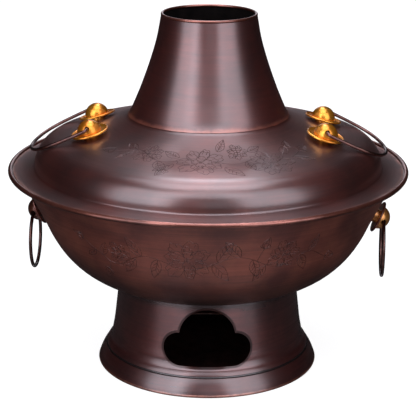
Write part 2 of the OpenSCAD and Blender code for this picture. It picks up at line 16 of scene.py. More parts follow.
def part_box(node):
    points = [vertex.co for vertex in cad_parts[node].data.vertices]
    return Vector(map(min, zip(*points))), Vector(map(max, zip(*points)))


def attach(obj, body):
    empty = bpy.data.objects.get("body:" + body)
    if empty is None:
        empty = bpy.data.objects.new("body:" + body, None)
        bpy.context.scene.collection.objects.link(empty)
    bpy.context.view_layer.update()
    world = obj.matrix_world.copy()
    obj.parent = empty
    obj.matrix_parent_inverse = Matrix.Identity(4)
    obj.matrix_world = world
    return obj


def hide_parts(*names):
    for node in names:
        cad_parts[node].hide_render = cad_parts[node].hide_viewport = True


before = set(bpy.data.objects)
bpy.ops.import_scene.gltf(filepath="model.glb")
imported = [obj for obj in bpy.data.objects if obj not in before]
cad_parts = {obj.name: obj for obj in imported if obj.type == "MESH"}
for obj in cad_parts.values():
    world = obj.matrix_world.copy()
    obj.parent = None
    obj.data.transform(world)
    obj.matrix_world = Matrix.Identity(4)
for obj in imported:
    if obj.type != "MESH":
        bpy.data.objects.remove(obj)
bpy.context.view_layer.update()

# %% [markdown]
# ## Four small helpers
# Every colour below is written as the hex value that a paint program shows. Blender works
# in linear light, so one function turns the hex value into it. The next adds a node, sets it
# up and plugs in what feeds it, in one line. The last two start an empty material and put a
# new object into the scene. Lengths are in millimetres until MM turns them into metres.

# %% Colours, nodes, materials and objects
MM = 0.001


def colour(hex_value):
    parts = [int(hex_value[i : i + 2], 16) / 255 for i in (1, 3, 5)]
    linear = [p / 12.92 if p <= 0.04045 else ((p + 0.055) / 1.055) ** 2.4 for p in parts]
    return (*linear, 1)


def add(tree, kind, feeds=None, **settings):
    made = tree.nodes.new(kind)
    for name, value in settings.items():
        setattr(made, name, value)
    for socket, value in (feeds or {}).items():
        if isinstance(value, bpy.types.NodeSocket):
            tree.links.new(value, made.inputs[socket])
        else:
            made.inputs[socket].default_value = value
    return made


def new_material(name):
    made = bpy.data.materials.new(name)
    made.use_nodes = True
    made.node_tree.nodes.clear()
    return made, made.node_tree


def new_object(name, data):
    made = bpy.data.objects.new(name, data)
    bpy.context.scene.collection.objects.link(made)
    return made


print("the chimney's brown in linear light:", [round(c, 3) for c in colour("#66241b")])

# %% [markdown]
# ## The camera
# A pot looks right from a little above its rim and through a long lens, which keeps the foot
# and the chimney nearly parallel. The focal length is known in pixels of a frame that is
# 416 pixels wide, and the lens in millimetres follows from it. An unturned camera looks
# straight down, so it is tilted up by 90 degrees less the angle at which it looks down.

# %% Camera
PICTURE_W, FOCAL_PX, SENSOR = 416, 1528, 36
LOOKS_DOWN, ROLL = 17.1, 0.4
CAMERA_PLACE = (0, -1.258, 0.529)
camera_data = bpy.data.cameras.new("camera")
camera_data.sensor_width = SENSOR
camera_data.lens = FOCAL_PX / PICTURE_W * SENSOR
camera = new_object("camera", camera_data)
tilt = Matrix.Rotation(math.radians(90 - LOOKS_DOWN), 4, "X")
roll = Matrix.Rotation(math.radians(ROLL), 4, "Z")
camera.matrix_world = Matrix.Translation(CAMERA_PLACE) @ tilt @ roll
bpy.context.scene.camera = camera
print("lens", round(camera_data.lens, 1), "mm")

# %% [markdown]
# ## Outlines of the spun sheets
# A spun piece is one outline turned round the axis. The outline is written the way that the
# lathe worker's template is cut: a few points with a smooth curve through them, some arcs,
# and the thickness of the sheet laid off to one side. A point's x is its radius and its y is
# its height.

# %% Outline tools
def polar(radius, angle):
    return radius * Vector((math.cos(math.radians(angle)), math.sin(math.radians(angle))))


def arc(centre, radius, start, end, steps):
    turns = [start + (end - start) * k / steps for k in range(steps + 1)]
    return [Vector(centre) + polar(radius, turn) for turn in turns]


def smooth(points, steps=4):
    """A curve through all the points, whose slope at each comes from the points beside it."""
    slopes = [points[1] - points[0]]
    slopes += [(points[i + 1] - points[i - 1]) / 2 for i in range(1, len(points) - 1)]
    slopes += [points[-1] - points[-2]]
    line = []
    for i in range(len(points) - 1):
        for k in range(steps):
            t = k / steps
            line.append(
                (2 * t**3 - 3 * t**2 + 1) * points[i]
                + (t**3 - 2 * t**2 + t) * slopes[i]
                + (3 * t**2 - 2 * t**3) * points[i + 1]
                + (t**3 - t**2) * slopes[i + 1]
            )
    return line + [points[-1]]


def between(a, b, shares):
    """Points that lie the given shares of the way from a to b, one share across and one up."""
    return [Vector((a[0] + s * (b[0] - a[0]), a[1] + t * (b[1] - a[1]))) for s, t in shares]


def headings(line):
    ways = [(b - a).normalized() for a, b in zip(line, line[1:])]
    inner = [(a + b).normalized() for a, b in zip(ways, ways[1:])]
    return [ways[0], *inner, ways[-1]]


def sheet(line, thickness):
    """A closed outline: the line, and back along it at the thickness to its left."""
    side = [p + thickness * Vector((-h.y, h.x)) for p, h in zip(line, headings(line))]
    return line + side[::-1]


# %% [markdown]
# The lid is an ogee dome: it falls in a hollow curve from the chimney, swells over a round
# shoulder to an upright wall, and ends in a flat brim.

# %% The outline of the lid
DOME_TOP, SHOULDER, SHOULDER_R = (68.7, 218.6), (125.3, 178.3), 22
DOME_SHARES = [(0, 0), (0.148, 0.223), (0.338, 0.457), (0.56, 0.67), (0.782, 0.826), (1, 1)]
CREASE, CREASE_R = (148.9, 177.5), 1.6
LID_BRIM_Z = 174.5
shoulder_start = Vector(SHOULDER) + polar(SHOULDER_R, 73)
lid_line = [Vector((63, 219.8)), Vector((67.5, 219.8))]
lid_line += smooth(between(DOME_TOP, shoulder_start, DOME_SHARES))
lid_line += arc(SHOULDER, SHOULDER_R, 65, 0, 14)
lid_line += arc(CREASE, CREASE_R, 180, 258, 4)
lid_line += [Vector((160.5, LID_BRIM_Z)), Vector((165.5, LID_BRIM_Z))]
print("lid outline", len(lid_line), "points")

# %% [markdown]
# The bowl runs out from the fire chamber, rises in one full curve and bends out to a flat rim
# that carries the lid. The centre of the bend follows from the slope at which the wall
# arrives, so that the arc leaves the wall without a kink.

# %% The outline of the bowl
WALL_FOOT, WALL_TOP = (77.3, 76.4), (156.3, 165)
WALL_SHARES = [(0, 0), (0.22, 0.063), (0.433, 0.176), (0.6, 0.323)]
WALL_SHARES += [(0.722, 0.492), (0.81, 0.661), (0.905, 0.831), (1, 1)]
RIM_Z, RIM_END, BEND_R = 172.1, 166.8, 5
bowl_wall = smooth(between(WALL_FOOT, WALL_TOP, WALL_SHARES))
wall_way = headings(bowl_wall)[-1]
wall_angle = math.degrees(math.atan2(wall_way.y, wall_way.x))
slope = math.radians(wall_angle)
bend_z = RIM_Z - BEND_R
bend_start_z = bend_z + BEND_R * math.cos(slope)
bend_r = WALL_TOP[0] + (bend_start_z - WALL_TOP[1]) / math.tan(slope) + BEND_R * math.sin(slope)
bowl_line = [Vector((74.05, WALL_FOOT[1])), *bowl_wall]
bowl_line += arc((bend_r, bend_z), BEND_R, 90 + wall_angle, 90, 6)
bowl_line += [Vector((RIM_END, RIM_Z))]
print("bowl outline", len(bowl_line), "points, and its wall arrives at", round(wall_angle, 1), "degrees")

# %% [markdown]
# ## Turning an outline into a sheet with Geometry Nodes
# The tree lays a grid of vertices, a row for each point of the outline and a column for each
# step round the axis, and one more of both, which fall on the first ones. It moves each
# vertex to its outline point, turned by its column, and merging what fell together closes
# the sheet. It is the same thing that the lathe does, so both sheets come from the one tree.

# %% The spinning tree
SAME_PLACE = 1e-6


def tree_with(name, sockets):
    made = bpy.data.node_groups.new(name, "GeometryNodeTree")
    for label, kind in sockets:
        made.interface.new_socket(label, in_out="INPUT", socket_type=kind)
    made.interface.new_socket("Geometry", in_out="OUTPUT", socket_type="NodeSocketGeometry")
    return made


spinning = tree_with(
    "spin_an_outline",
    [
        ("Geometry", "NodeSocketGeometry"),
        ("Steps Round", "NodeSocketInt"),
        ("Finish", "NodeSocketMaterial"),
    ],
)
given = add(spinning, "NodeGroupInput")
counted = add(spinning, "GeometryNodeAttributeDomainSize", {0: given.outputs["Geometry"]})
points = counted.outputs["Point Count"]
rows = add(spinning, "ShaderNodeMath", {0: points, 1: 1}, operation="ADD").outputs[0]
columns = add(spinning, "ShaderNodeMath", {0: given.outputs["Steps Round"], 1: 1}, operation="ADD")
grid = add(spinning, "GeometryNodeMeshGrid", {"Vertices X": columns.outputs[0], "Vertices Y": rows})
number = add(spinning, "GeometryNodeInputIndex").outputs[0]
column = add(spinning, "ShaderNodeMath", {0: number, 1: rows}, operation="DIVIDE")
column = add(spinning, "ShaderNodeMath", {0: column.outputs[0]}, operation="FLOOR")
row = add(spinning, "ShaderNodeMath", {0: number, 1: rows}, operation="MODULO")
row = add(spinning, "ShaderNodeMath", {0: row.outputs[0], 1: points}, operation="MODULO")
where = add(spinning, "GeometryNodeInputPosition")
point = add(
    spinning,
    "GeometryNodeSampleIndex",
    {"Geometry": given.outputs["Geometry"], "Value": where.outputs[0], "Index": row.outputs[0]},
    data_type="FLOAT_VECTOR",
    domain="POINT",
)
step = add(spinning, "ShaderNodeMath", {0: math.tau, 1: given.outputs["Steps Round"]}, operation="DIVIDE")
angle = add(spinning, "ShaderNodeMath", {0: column.outputs[0], 1: step.outputs[0]}, operation="MULTIPLY")
turned = add(
    spinning,
    "ShaderNodeVectorRotate",
    {"Vector": point.outputs["Value"], "Angle": angle.outputs[0]},
    rotation_type="Z_AXIS",
)
moved = add(
    spinning,
    "GeometryNodeSetPosition",
    {"Geometry": grid.outputs["Mesh"], "Position": turned.outputs[0]},
)
merged = add(
    spinning,
    "GeometryNodeMergeByDistance",
    {"Geometry": moved.outputs[0], "Distance": SAME_PLACE},
)
realized = add(spinning, "GeometryNodeRealizeInstances", {0: merged.outputs[0]})
finished = add(
    spinning,
    "GeometryNodeSetMaterial",
    {"Geometry": realized.outputs[0], "Material": given.outputs["Finish"]},
)
add(spinning, "NodeGroupOutput", {0: finished.outputs[0]})
print("the spinning tree has", len(spinning.nodes), "nodes")

# %% [markdown]
# A modifier's inputs are set by the identifier of each socket, because two sockets may carry
# one name. The result is copied out as a plain mesh, so that nothing is left to evaluate, and
# its normals are worked out anew because a turned outline can come out inside out.

# %% Running a tree and keeping a plain mesh
def run_tree(tree, source, name, values):
    modifier = source.modifiers.new("nodes", "NODES")
    modifier.node_group = tree
    names = {s.name: s.identifier for s in tree.interface.items_tree if s.in_out == "INPUT"}
    for label, value in values.items():
        modifier[names[label]] = value
    shown = source.evaluated_get(bpy.context.evaluated_depsgraph_get())
    mesh = bpy.data.meshes.new_from_object(shown)
    bpy.data.objects.remove(source)
    mesh.name = name
    return new_object(name, mesh)


def close_and_shade(piece, sharp_angle):
    shape = bmesh.new()
    shape.from_mesh(piece.data)
    bmesh.ops.remove_doubles(shape, verts=shape.verts, dist=SAME_PLACE / 10)
    bmesh.ops.recalc_face_normals(shape, faces=shape.faces)
    shape.to_mesh(piece.data)
    shape.free()
    piece.data.shade_smooth()
    piece.data.set_sharp_from_angle(angle=math.radians(sharp_angle))
    return piece


def drawing(name, points, edges):
    mesh = bpy.data.meshes.new(name)
    mesh.from_pydata(points, edges, [])
    return new_object(name, mesh)


# %% [markdown]
# ## The finish: browned copper, spun and buffed
# Real antique copper is dipped in a browning liquor, which leaves a dark red-brown skin of
# oxide, then buffed and waxed. Three things show it: the skin is uneven, in clouds a few
# centimetres wide; the lathe has left fine rings, which draw each highlight out along the
# wall; and wherever hands or cloths rub, bare pink copper comes through.
#
# The rings come first. They are noise that is long round the axis and short along the wall,
# whose way along the wall is given by two shares, one outwards and one upwards. Real rings
# are about 0.2 mm apart. The broadest are drawn 2.4 mm apart here, with finer ones between
# them, because the real ones would not show.

# %% Lathe rings
RING_STEP, ROUND_THE_AXIS = 2.4, 1.6


def measures(tree):
    """What a finish can read of its place on the pot, in metres."""
    place = add(tree, "ShaderNodeTexCoord").outputs["Object"]
    part = add(tree, "ShaderNodeSeparateXYZ", {0: place})
    x, y, height = part.outputs[0], part.outputs[1], part.outputs[2]
    flat = add(tree, "ShaderNodeCombineXYZ", {0: x, 1: y}).outputs[0]
    radius = add(tree, "ShaderNodeVectorMath", {0: flat}, operation="LENGTH").outputs["Value"]
    return {"place": place, "x": x, "y": y, "height": height, "flat": flat, "radius": radius}


def lathe_rings(tree, read, outwards, upwards):
    step = RING_STEP * MM
    out = add(tree, "ShaderNodeMath", {0: read["radius"], 1: outwards / step}, operation="MULTIPLY")
    up = add(tree, "ShaderNodeMath", {0: read["height"], 1: upwards / step}, operation="MULTIPLY")
    along = add(tree, "ShaderNodeMath", {0: out.outputs[0], 1: up.outputs[0]}, operation="ADD")
    lift = add(tree, "ShaderNodeCombineXYZ", {2: along.outputs[0]})
    way = add(tree, "ShaderNodeVectorMath", {0: read["flat"]}, operation="NORMALIZE")
    stretched = add(
        tree,
        "ShaderNodeVectorMath",
        {0: way.outputs[0], 1: (ROUND_THE_AXIS, ROUND_THE_AXIS, 0), 2: lift.outputs[0]},
        operation="MULTIPLY_ADD",
    )
    rings = add(
        tree,
        "ShaderNodeTexNoise",
        {"Vector": stretched.outputs[0], "Scale": 1, "Detail": 4, "Roughness": 0.65},
    )
    return rings.outputs["Fac"]


def along_the_rings(tree, read):
    """The direction in which the rings run, for a shader that stretches its highlights."""
    back = add(tree, "ShaderNodeMath", {0: read["y"], 1: -1}, operation="MULTIPLY")
    tangent = add(tree, "ShaderNodeCombineXYZ", {0: back.outputs[0], 1: read["x"]})
    return add(tree, "ShaderNodeVectorTransform", {0: tangent.outputs[0]}, vector_type="VECTOR",
               convert_from="OBJECT", convert_to="WORLD").outputs[0]


print("the broadest lathe rings are", RING_STEP, "mm apart")

# %% [markdown]
# The brown skin lies in clouds of two tones. Bare copper shows in small rubbed spots, and in a
# ragged line along every edge. An edge is found by its radius or its height, and the line
# grows from a first value to a second. Near a corner's height the colour is darkened as painted
# shade, at the joins between parts and in the foot's groove, and it turns plain further away.

# %% Brown skin, wear and painted shade in corners
CLOUD, RUB = 125 / 3, 50 / 3
RING_LOW, RING_HIGH = 0.3, 0.7
IN_GROOVES, ON_CRESTS, DARKEST_CORNER_SHADE = 0.75, 1.2, 0.2


def worn_skin(tree, read, tones, rub, edges):
    dark, mid, bare = tones
    clouds = add(tree, "ShaderNodeTexNoise",
                 {"Vector": read["place"], "Scale": 1 / (CLOUD * MM), "Detail": 4, "Roughness": 0.55})
    clouded = add(tree, "ShaderNodeMapRange", {0: clouds.outputs["Fac"], 1: 0.36, 2: 0.66})
    brown = add(tree, "ShaderNodeMix", {0: clouded.outputs[0], 6: colour(dark), 7: colour(mid)},
                data_type="RGBA")
    rubs = add(tree, "ShaderNodeTexNoise",
               {"Vector": read["place"], "Scale": 1 / (RUB * MM), "Detail": 6, "Roughness": 0.7})
    rubs = rubs.outputs["Fac"]
    wear = add(tree, "ShaderNodeMapRange", {0: rubs, 1: 0.52, 2: 0.8, 4: rub}).outputs[0]
    for what, start, end in edges:
        edge = add(tree, "ShaderNodeMapRange", {0: read[what], 1: start * MM, 2: end * MM})
        broken = add(tree, "ShaderNodeMath", {0: edge.outputs[0], 1: rubs}, operation="MULTIPLY")
        broken = add(tree, "ShaderNodeMapRange", {0: broken.outputs[0], 1: 0.3, 2: 0.55})
        wear = add(tree, "ShaderNodeMath", {0: wear, 1: broken.outputs[0]}, operation="MAXIMUM")
        wear = wear.outputs[0]
    return add(tree, "ShaderNodeMix", {0: wear, 6: brown.outputs[2], 7: colour(bare)},
               data_type="RGBA").outputs[2]


def shade_of_rings_and_corners(tree, read, rings, corners):
    shade = add(tree, "ShaderNodeMapRange",
                {0: rings, 1: RING_LOW, 2: RING_HIGH, 3: IN_GROOVES, 4: ON_CRESTS}).outputs[0]
    # painted shade: the colour darkens near each corner's height and turns plain further away
    for middle, near, far in corners:
        gap = add(tree, "ShaderNodeMath", {0: read["height"], 1: middle * MM}, operation="SUBTRACT")
        gap = add(tree, "ShaderNodeMath", {0: gap.outputs[0]}, operation="ABSOLUTE")
        corner_shade = add(tree, "ShaderNodeMapRange",
                     {0: gap.outputs[0], 1: near * MM, 2: far * MM, 3: DARKEST_CORNER_SHADE, 4: 1})
        shade = add(tree, "ShaderNodeMath", {0: shade, 1: corner_shade.outputs[0]}, operation="MULTIPLY")
        shade = shade.outputs[0]
    return shade


print("clouds", round(CLOUD, 1), "mm wide, rubbed spots", round(RUB, 1), "mm")

# %% [markdown]
# The shader has a red, rather rough metal below and a clear, smoother coat above. The metal is
# anisotropic, so its highlights are drawn out across the rings, and the coat adds the white
# shine of the waxed skin. Wax alone has an index of about 1.45, but the oxide below it reaches
# nearly 3, so the coat's index is set between the two.

# %% Browned copper
GROOVE_ROUGH, CREST_ROUGH, RING_DEPTH = 0.54, 0.42, 0.1


def spun_copper(name, tones, ring_way, edges, corners=(),
                metallic=0.8, rub=0.12, coat=1.0, coat_rough=0.3):
    """edges lists (what, from, to) and corners lists (height, near, far), in millimetres."""
    made, tree = new_material(name)
    read = measures(tree)
    rings = lathe_rings(tree, read, *ring_way)
    skin = worn_skin(tree, read, tones, rub, edges)
    shade = shade_of_rings_and_corners(tree, read, rings, corners)
    toned = add(tree, "ShaderNodeVectorMath", {0: skin, "Scale": shade}, operation="SCALE")
    gloss = add(tree, "ShaderNodeMapRange",
                {0: rings, 1: RING_LOW, 2: RING_HIGH, 3: GROOVE_ROUGH, 4: CREST_ROUGH})
    relief = add(tree, "ShaderNodeBump",
                 {"Strength": 0.4, "Distance": RING_DEPTH * MM, "Height": rings})
    metal = add(
        tree,
        "ShaderNodeBsdfPrincipled",
        {
            "Base Color": toned.outputs[0],
            "Metallic": metallic,
            "Roughness": gloss.outputs[0],
            "Specular IOR Level": 1.0,
            "Anisotropic": 0.7,
            "Anisotropic Rotation": 0.25,
            "Tangent": along_the_rings(tree, read),
            "Normal": relief.outputs[0],
            "Coat Weight": coat,
            "Coat IOR": 1.95,
            "Coat Roughness": coat_rough,
        },
    )
    add(tree, "ShaderNodeOutputMaterial", {0: metal.outputs[0]})
    print(name, "has", len(tree.nodes), "nodes")
    return made


# %% [markdown]
# Lid, foot and chimney wear the full dark skin. The bowl is scoured with every wash, so its
# skin is thin: lighter, pinker and less glossy. Painted shade darkens it low down, next to the
# foot, and darkens the foot at its top and in its groove.

# %% The four spun finishes
# the bare copper over the lid's brim is partly wear and partly a painted reflection, which lightens the
# brim
lid_copper = spun_copper(
    "browned_copper_lid", ("#461711", "#64261c", "#a8654f"), (1, -1),
    [("radius", 158, 165.5)], coat_rough=0.28,
)
bowl_copper = spun_copper(
    "browned_copper_bowl", ("#652d22", "#954f3c", "#b0704f"), (1, 1),
    [("radius", 163, 168)], corners=[(76.4, 8, 50)], metallic=0.6, rub=0.3, coat=0.3,
)
foot_copper = spun_copper(
    "browned_copper_foot", ("#4a1510", "#62221b", "#a8654f"), (0.3, 1),
    [("height", 3.4, 2.2)], corners=[(76.4, 1, 9), (15.4, 0.6, 1.1)], coat_rough=0.27,
)
chimney_copper = spun_copper(
    "browned_copper_chimney", ("#4a1610", "#66241b", "#94503f"), (0.3, 1),
    [("height", 226, 221)], coat_rough=0.29,
)

# %% [markdown]
# The small pieces are cast, drawn, rolled, tinned or sooted metal, with no lathe rings. One
# function makes them all: the colour drifts between two tones over four grains, the gloss
# follows it, and a finer grain is pressed in.

# %% A metal without rings
DULLER, SHINIER = 0.08, 0.06


def plain_metal(name, low, high, grain, rough, grain_depth,
                metallic=1.0, coat=0.0, gloss_level=0.5):
    """The size and the depth of the grain are in millimetres."""
    made, tree = new_material(name)
    place = add(tree, "ShaderNodeTexCoord").outputs["Object"]
    coarse = add(tree, "ShaderNodeTexNoise",
                 {"Vector": place, "Scale": 1 / (grain * 4 * MM), "Detail": 5, "Roughness": 0.6})
    fine = add(tree, "ShaderNodeTexNoise",
               {"Vector": place, "Scale": 1 / (grain * MM), "Detail": 3, "Roughness": 0.6})
    spread = add(tree, "ShaderNodeMapRange", {0: coarse.outputs["Fac"], 1: 0.35, 2: 0.65})
    tone = add(tree, "ShaderNodeMix", {0: spread.outputs[0], 6: colour(low), 7: colour(high)},
               data_type="RGBA")
    gloss = add(tree, "ShaderNodeMapRange",
                {0: coarse.outputs["Fac"], 1: 0.3, 2: 0.7, 3: rough + DULLER, 4: rough - SHINIER})
    relief = add(tree, "ShaderNodeBump",
                 {"Strength": 0.5, "Distance": grain_depth * MM, "Height": fine.outputs["Fac"]})
    metal = add(
        tree,
        "ShaderNodeBsdfPrincipled",
        {
            "Base Color": tone.outputs[2],
            "Metallic": metallic,
            "Roughness": gloss.outputs[0],
            "Specular IOR Level": gloss_level,
            "Normal": relief.outputs[0],
            "Coat Weight": coat,
            "Coat Roughness": 0.2,
        },
    )
    add(tree, "ShaderNodeOutputMaterial", {0: metal.outputs[0]})
    return made


print("roughness drifts by", round(DULLER + SHINIER, 2), "across a small piece")

# %% [markdown]
# Each small piece takes one of these. The comment says what the metal is on the real pot and
# what that gives the eye.

# %% Metals of the small pieces
# rolled edges: hands and cloths keep them bright, so they shine pink and sharply
edge_copper = plain_metal("rubbed_copper_edge", "#5e3024", "#94584a", 8, 0.32, 0.01,
                          metallic=0.9, coat=0.9)
# lip of the draught opening: seldom rubbed, so it stays nearly black under its wax
lip_copper = plain_metal("browned_copper_lip", "#280e0a", "#3c1812", 4, 0.4, 0.02,
                         metallic=0.8, coat=1.0)
# near the fire the skin has burnt dull, with no shine left
chamber_copper = plain_metal("heat_dulled_copper", "#241310", "#402520", 3, 0.5, 0.08,
                             metallic=0.7)
# bosses: brass, brushed and gilt, which gives a soft yellow glow
gilt = plain_metal("satin_gilt_brass", "#cc7410", "#f2a834", 6, 0.28, 0.02,
                   metallic=0.85, coat=0.5)
# right knob: copper whose skin is worn through to a golden tone
golden = plain_metal("satin_golden_copper", "#b06a34", "#dc9850", 5, 0.36, 0.02,
                     metallic=0.8, coat=0.6)
# left knob: the same copper with its skin still on
dark_knob = plain_metal("satin_brown_copper", "#4a2218", "#804834", 5, 0.32, 0.02,
                        metallic=0.8, coat=0.8)
# wire and rivets: drawn smooth, with thin bright lines along a brown wire
wire = plain_metal("drawn_copper_wire", "#3a1c16", "#6e4034", 2, 0.32, 0.02, coat=1.0)
# inside of bowl and lid: tin wiped on with a cloth, grey-white and slightly cloudy
tin = plain_metal("hand_wiped_tin", "#a4a29c", "#c6c4be", 7, 0.42, 0.05)
# inside of chamber and chimney: soot, which takes nearly all light
soot = plain_metal("soot_on_copper", "#060404", "#100b0a", 2, 0.9, 0.1,
                   metallic=0, gloss_level=0.1)
# grate: iron cast in sand, dark grey with a coarse skin
iron = plain_metal("sand_cast_iron", "#1c1c1d", "#343436", 1.2, 0.62, 0.3)
# chased lines: the browning stays in them, and on the scoured bowl less of it
chased_lid = plain_metal("oxide_in_chased_lines", "#26100c", "#4c261f", 2, 0.38, 0.02,
                         metallic=0.6, coat=0.5)
chased_bowl = plain_metal("worn_chased_lines", "#34160f", "#6a3428", 2, 0.36, 0.02,
                          metallic=0.6, coat=1.0)
print("the tin's tones in linear light:", round(colour("#a4a29c")[0], 3), round(colour("#c6c4be")[0], 3))

# %% [markdown]
# ## The two spun sheets
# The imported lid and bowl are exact, but their faces are long triangles. A sheet of even
# quads shades more evenly under a long highlight, so the lid and the bowl are spun again from
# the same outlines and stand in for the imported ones.

# %% Spin the lid and the bowl
SHEET, STEPS_ROUND, SHARP_SHEET = 1.2, 256, 40


def spun_sheet(name, outline, finish, body, node):
    closed = [Vector((p.x * MM, 0, p.y * MM)) for p in outline]
    edges = [(i, (i + 1) % len(closed)) for i in range(len(closed))]
    source = drawing(name + "_outline", closed, edges)
    piece = run_tree(spinning, source, name, {"Steps Round": STEPS_ROUND, "Finish": finish})
    close_and_shade(piece, SHARP_SHEET)
    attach(piece, body)
    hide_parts(node)
    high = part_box(node)[1]
    own = [v.co for v in piece.data.vertices]
    print(name, len(piece.data.polygons), "faces, top", round(max(v.z for v in own) / MM, 2),
          "mm, packed top", round(high.z / MM, 2), "mm, radius", round(max(v.x for v in own) / MM, 2),
          "and", round(high.x / MM, 2), "mm")
    return piece


lid = spun_sheet("lid_sheet", sheet(lid_line, -SHEET), lid_copper, "lid", "lid_shell")
bowl = spun_sheet("bowl_sheet", sheet(bowl_line, SHEET), bowl_copper, "pot", "bowl_shell")

# %% [markdown]
# ## The chased flowers
# A chaser draws the flowers on the sheet with a blunt punch and a hammer, one short stroke
# after another, and the dark patina stays in the strokes. Here each motif is a flat drawing
# in millimetres: a blossom of three rings of ruffled petals, a toothed leaf with its veins, a
# bud and a stem. No two petals are alike, as when a hand draws them.

# %% The blossom
PETAL_RINGS = ((7, 1.0, 0.45, 0), (6, 0.72, 0.3, 25), (4, 0.42, 0.14, 10))
PETAL_STEPS, RUFFLE, RUFFLE_TURNS = 18, 0.06, 3 * 360


def blossom(size, turn):
    """PETAL_RINGS lists (petals, outer and inner share of the size, turn) of each ring."""
    hand = random.Random(round(size * 100 + turn))
    lines = []
    for count, reach, heart, offset in PETAL_RINGS:
        for k in range(count):
            middle = turn + offset + 360 * k / count + hand.uniform(-7, 7)
            spread = 360 / count * hand.uniform(0.95, 1.2)
            length, phase = hand.uniform(0.84, 1.08), hand.uniform(0, 360)
            edge = []
            for j in range(PETAL_STEPS + 1):
                share = j / PETAL_STEPS
                bow = math.sin(math.pi * share)
                rim = heart + (reach - heart) * bow**0.5
                ruffle = RUFFLE * math.cos(math.radians(phase + RUFFLE_TURNS * share)) * bow
                edge.append(polar(size * rim * length * (1 + ruffle), middle + (share - 0.5) * spread))
            lines.append(edge)
            for lean in (-0.16, 0.12):
                ends = (heart + 0.55 * (reach - heart), heart + 0.82 * (reach - heart))
                lines.append([polar(size * r * length, middle + lean * spread) for r in ends])
    for k in range(3):
        seed = polar(size * 0.07, turn + 120 * k)
        lines.append([seed + polar(size * 0.05, 45 * a) for a in range(9)])
    return lines


print("a blossom has", len(blossom(20, 0)), "strokes")

# %% [markdown]
# A leaf is two toothed edges, a midrib and three veins on each side. A bud is three sepals on
# each side, one inside another. Both are drawn along x and then turned.

# %% The leaf, the bud and the stem
LEAF_STEPS, TEETH, TOOTH = 28, 7, 0.16
BUD_STEPS, SEPALS = 10, ((1.0, 0.3), (0.86, 0.14), (0.5, 0.4))


def turned_lines(lines, angle):
    spin = Matrix.Rotation(math.radians(angle), 2)
    return [[spin @ p for p in line] for line in lines]


def leaf(length, width, turn):
    lines = []
    for side in (1, -1):
        edge = []
        for j in range(LEAF_STEPS + 1):
            share = j / LEAF_STEPS
            tooth = 1 - TOOTH * (share * TEETH % 1)
            half = side * width / 2 * math.sin(math.pi * share**0.8) * tooth
            edge.append(Vector((length * share, half)))
        lines.append(edge)
        for share in (0.2, 0.38, 0.56):
            half = side * width * 0.33 * math.sin(math.pi * share**0.8)
            lines.append([Vector((length * share, 0)), Vector((length * (share + 0.17), half))])
    lines.append([Vector((0, 0)), Vector((length * 0.5, width * 0.04)), Vector((length, 0))])
    return turned_lines(lines, turn)


def bud(length, turn):
    lines = []
    for side in (1, -1):
        for reach, fat in SEPALS:
            sepal = []
            for j in range(BUD_STEPS + 1):
                half = side * length * fat * math.sin(math.pi * (j / BUD_STEPS) ** 0.7)
                sepal.append(Vector((length * reach * j / BUD_STEPS, half)))
            lines.append(sepal)
    return turned_lines(lines, turn)


def stem(points):
    return smooth([Vector(p) for p in points], 8)


print("a leaf has", len(leaf(20, 9, 0)), "strokes and a bud", len(bud(12, 0)))

# %% [markdown]
# The motifs are laid out on a flat strip, across and up in millimetres, and the strip is then
# bent round the pot. On the lid, up means outwards and the strip lies in a level plane above
# it. On the bowl, up is really up and the strip stands on a cylinder outside it. On both, one
# stem runs through in a wave, and the motifs leave it by turns.

# %% The garland of the lid
LID_STEM = ((-84, 0), (-62, -8), (-36, 4), (-8, -4), (20, 5), (44, -4), (66, 4), (84, -2))
# each blossom: size, turn, across, up
LID_BLOSSOMS = ((20, 80, -6, 1), (18, 60, 48, 7), (13, 120, -52, -5), (10, 40, 26, -12))
# each leaf and bud: across, up, length, turn
LID_LEAVES = ((-26, 6, 18, 130), (-24, -4, 17, 205), (-40, 4, 18, 60), (-66, -8, 16, 200),
              (-68, -6, 17, 110), (12, 10, 18, 50), (8, -14, 17, -60), (30, 2, 15, 80),
              (64, -2, 17, -40), (70, 4, 18, 40), (36, -12, 15, -20))
LID_BUDS = ((84, -2, 13, -20), (-84, 0, 13, 165), (-30, 16, 11, 110), (76, -10, 11, -50))


def placed(lines, across, up):
    return [[p + Vector((across, up)) for p in line] for line in lines]


lid_garland = [stem(LID_STEM)]
for size, turn, across, up in LID_BLOSSOMS:
    lid_garland += placed(blossom(size, turn), across, up)
for across, up, length, turn in LID_LEAVES:
    lid_garland += placed(leaf(length, length * 0.5, turn), across, up)
for across, up, length, turn in LID_BUDS:
    lid_garland += placed(bud(length, turn), across, up)
print("lid garland", len(lid_garland), "strokes")

# %% [markdown]
# The garland of the bowl is longer, with three blossoms and larger leaves. Stalks with buds
# grow from its stem and from the stem's two ends.

# %% The garland of the bowl
BOWL_STEM = ((-104, 6), (-80, -8), (-50, 4), (-14, -6), (24, 6), (58, -6), (84, 4), (104, -4))
BOWL_BLOSSOMS = ((21, 70, -16, 3), (14, 110, 62, 5), (11, 60, -74, 2))
BOWL_LEAVES = ((-98, 2, 14, 215), (-92, -2, 15, 60), (-60, 0, 19, 230), (-54, 3, 20, 120),
               (-40, 2, 20, 250), (8, 2, 22, 60), (4, 0, 22, -50), (26, 6, 20, 130),
               (36, 3, 19, -70), (48, -4, 17, 240), (78, 2, 18, -60), (86, 4, 16, 75))
